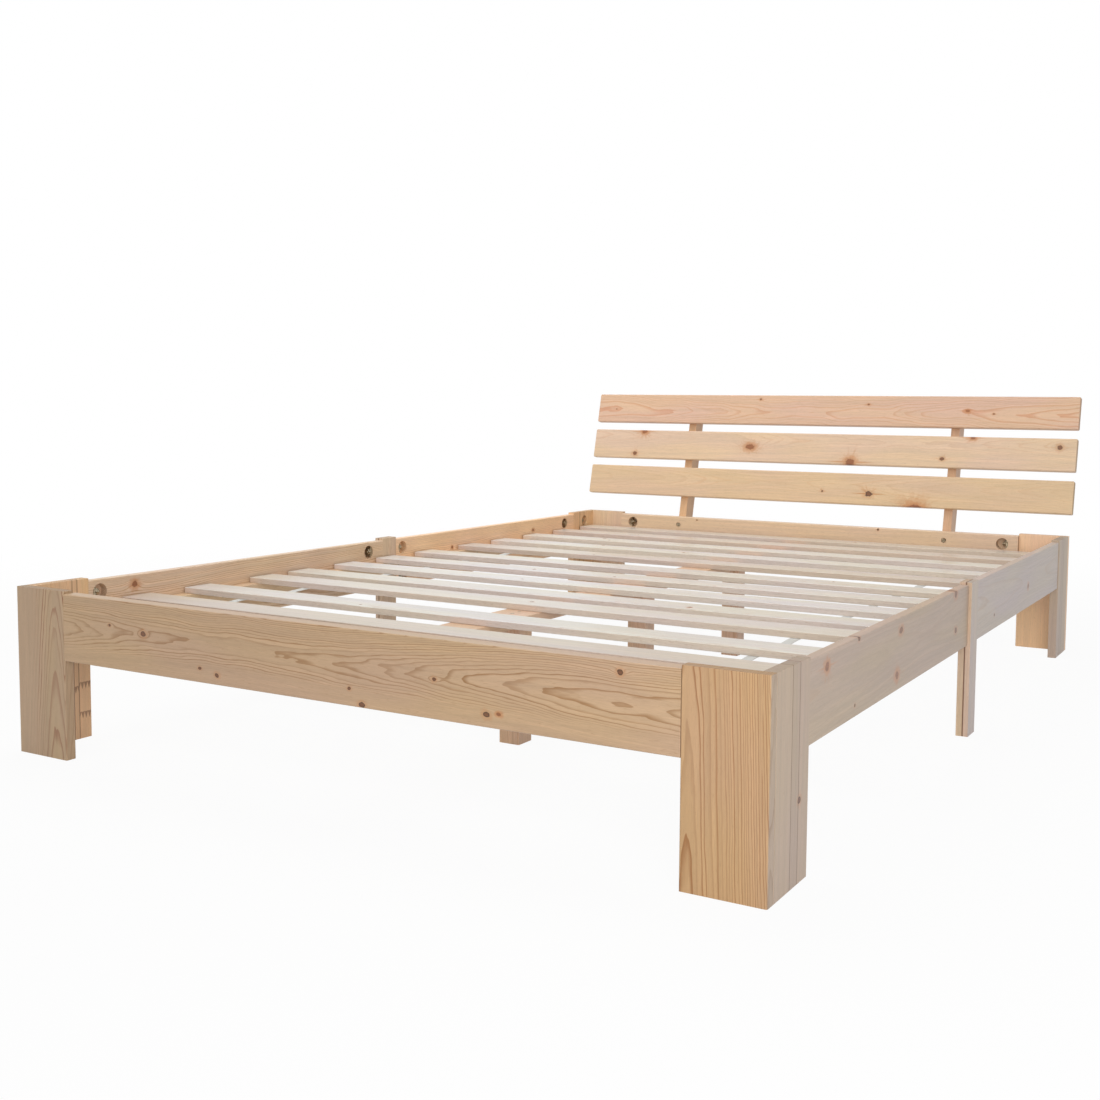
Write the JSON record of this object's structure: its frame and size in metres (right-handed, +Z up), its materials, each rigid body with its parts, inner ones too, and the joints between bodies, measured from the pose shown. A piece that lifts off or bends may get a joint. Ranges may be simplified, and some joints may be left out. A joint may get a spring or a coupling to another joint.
{
  "type": "double bed",
  "caption": "Low slatted platform bed frame of solid softwood boards with broad corner legs and a leaning headboard of horizontal slats.",
  "frame": {"origin": "middle of the bed's footprint, on the floor", "axes": "+X across the bed to the right as seen from the foot, +Y from foot to head, +Z up"},
  "size_m": [1.48, 2.2112, 0.6735],
  "materials": {
    "leg_pine": "planed, unvarnished",
    "rail_pine": "planed, unvarnished",
    "slat_pine": "planed, unvarnished",
    "frame_strip_pine": "planed, unvarnished",
    "headboard_pine": "planed, unvarnished",
    "webbing": "woven webbing",
    "zinc_steel": "zinc plated"
  },
  "bodies": {
    "root": {"beam_cleat_foot": "frame_strip_pine", "beam_cleat_head": "frame_strip_pine", "beam_screws": "zinc_steel", "centre_beam_front": "frame_strip_pine", "centre_beam_rear": "frame_strip_pine", "centre_post_front": "frame_strip_pine", "centre_post_middle": "frame_strip_pine", "centre_post_rear": "frame_strip_pine", "cleat_screws": "zinc_steel", "connector_nuts": "zinc_steel", "connector_rods": "zinc_steel", "connector_saddles": "zinc_steel", "foot_left_leg_end_board": "leg_pine", "foot_left_leg_side_board": "leg_pine", "foot_rail": "rail_pine", "foot_right_leg_end_board": "leg_pine", "foot_right_leg_side_board": "leg_pine", "head_left_leg_end_board": "leg_pine", "head_left_leg_side_board": "leg_pine", "head_rail": "rail_pine", "head_right_leg_end_board": "leg_pine", "head_right_leg_side_board": "leg_pine", "headboard_bolts": "zinc_steel", "headboard_nuts": "zinc_steel", "headboard_screws": "zinc_steel", "headboard_slat_lower": "headboard_pine", "headboard_slat_middle": "headboard_pine", "headboard_slat_upper": "headboard_pine", "headboard_upright_left": "headboard_pine", "headboard_upright_right": "headboard_pine", "ledger_left_front": "frame_strip_pine", "ledger_left_rear": "frame_strip_pine", "ledger_right_front": "frame_strip_pine", "ledger_right_rear": "frame_strip_pine", "ledger_screws": "zinc_steel", "mid_left_leg_inner_layer": "leg_pine", "mid_left_leg_outer_layer": "leg_pine", "mid_right_leg_inner_layer": "leg_pine", "mid_right_leg_outer_layer": "leg_pine", "side_rail_left_front": "rail_pine", "side_rail_left_rear": "rail_pine", "side_rail_right_front": "rail_pine", "side_rail_right_rear": "rail_pine", "slat_01": "slat_pine", "slat_02": "slat_pine", "slat_03": "slat_pine", "slat_04": "slat_pine", "slat_05": "slat_pine", "slat_06": "slat_pine", "slat_07": "slat_pine", "slat_08": "slat_pine", "slat_09": "slat_pine", "slat_10": "slat_pine", "slat_11": "slat_pine", "slat_12": "slat_pine", "slat_13": "slat_pine", "strap_left": "webbing", "strap_right": "webbing"}
  },
  "joints": []
}
